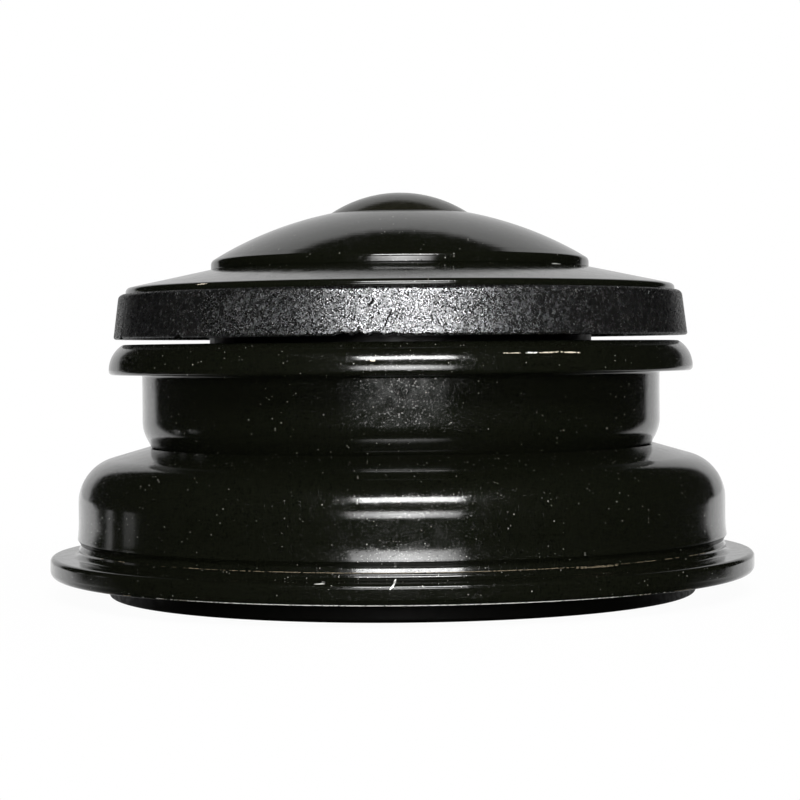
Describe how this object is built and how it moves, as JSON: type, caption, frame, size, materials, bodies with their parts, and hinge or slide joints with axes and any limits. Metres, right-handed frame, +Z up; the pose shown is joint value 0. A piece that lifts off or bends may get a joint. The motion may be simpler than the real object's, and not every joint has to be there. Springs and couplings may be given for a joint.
{
  "type": "bicycle headset",
  "caption": "Semi-integrated threadless headset for a tapered steerer: domed cap, cone cover, two pressed cups with caged bearings and a crown race, stacked in order.",
  "frame": {"origin": "on the axis, at the underside of the crown race that the stack stands on", "axes": "+Z up the steerer axis, from the crown race to the top cap"},
  "size_m": [0.0598, 0.0598, 0.034],
  "materials": {
    "gloss_black_steel": "gloss black paint on pressed steel",
    "gloss_black_alloy": "gloss black paint on turned alloy",
    "grained_moulding": "matt with a fine grain",
    "blackened_steel": "blackened, satin",
    "black_rubber": "satin",
    "black_alloy": "turned, anodised black",
    "plated_steel": "bright plated",
    "bearing_steel": "ground",
    "cage_nylon": "moulded"
  },
  "bodies": {
    "cups": {"upper_cup": "gloss_black_steel", "lower_cup": "gloss_black_steel", "upper_bearing_outer_race": "bearing_steel", "upper_bearing_cone_side_seal": "black_rubber", "upper_bearing_seat_side_seal": "black_rubber", "lower_bearing_outer_race": "bearing_steel", "lower_bearing_cone_side_seal": "black_rubber", "lower_bearing_seat_side_seal": "black_rubber"},
    "cover": {"upper_bearing_inner_race": "bearing_steel", "compression_ring": "black_alloy", "dust_cover": "gloss_black_alloy", "cover_band": "grained_moulding", "top_cap": "gloss_black_alloy", "cap_plug": "black_rubber"},
    "upper_ball_ring": {"upper_bearing_balls": "bearing_steel", "upper_bearing_cage": "cage_nylon"},
    "crown": {"lower_bearing_inner_race": "bearing_steel", "crown_race": "blackened_steel", "crown_seal": "black_rubber"},
    "lower_ball_ring": {"lower_bearing_balls": "bearing_steel", "lower_bearing_cage": "cage_nylon"},
    "bolt": {"cap_bolt": "plated_steel"},
    "star_nut": {"star_nut_barrel": "plated_steel", "star_nut_lower_star": "plated_steel", "star_nut_upper_star": "plated_steel"}
  },
  "joints": [
    {"name": "cover_turn", "type": "hinge", "parent": "cups", "child": "cover", "pos_m": [0, 0, 0.017], "axis": [0, 0, 1], "continuous": true},
    {"name": "upper_ball_ring_turn", "type": "hinge", "parent": "cups", "child": "upper_ball_ring", "pos_m": [0, 0, 0.017], "axis": [0, 0, 1], "continuous": true},
    {"name": "crown_turn", "type": "hinge", "parent": "cups", "child": "crown", "pos_m": [0, 0, 0.0067], "axis": [0, 0, 1], "continuous": true},
    {"name": "lower_ball_ring_turn", "type": "hinge", "parent": "cups", "child": "lower_ball_ring", "pos_m": [0, 0, 0.0067], "axis": [0, 0, 1], "continuous": true},
    {"name": "bolt_turn", "type": "hinge", "parent": "cover", "child": "bolt", "pos_m": [0, 0, 0.0279], "axis": [0, 0, 1], "range_deg": [-1800, 0]},
    {"name": "star_nut_climb", "type": "slide", "parent": "cover", "child": "star_nut", "axis": [0, 0, 1], "range_m": [0, 0.005]}
  ],
  "couplings": [
    {"joint": "upper_ball_ring_turn", "follows": "cover_turn", "ratio": 0.4652},
    {"joint": "lower_ball_ring_turn", "follows": "crown_turn", "ratio": 0.4731},
    {"joint": "bolt_turn", "follows": "star_nut_climb", "rad_per_m": -6283.2}
  ]
}
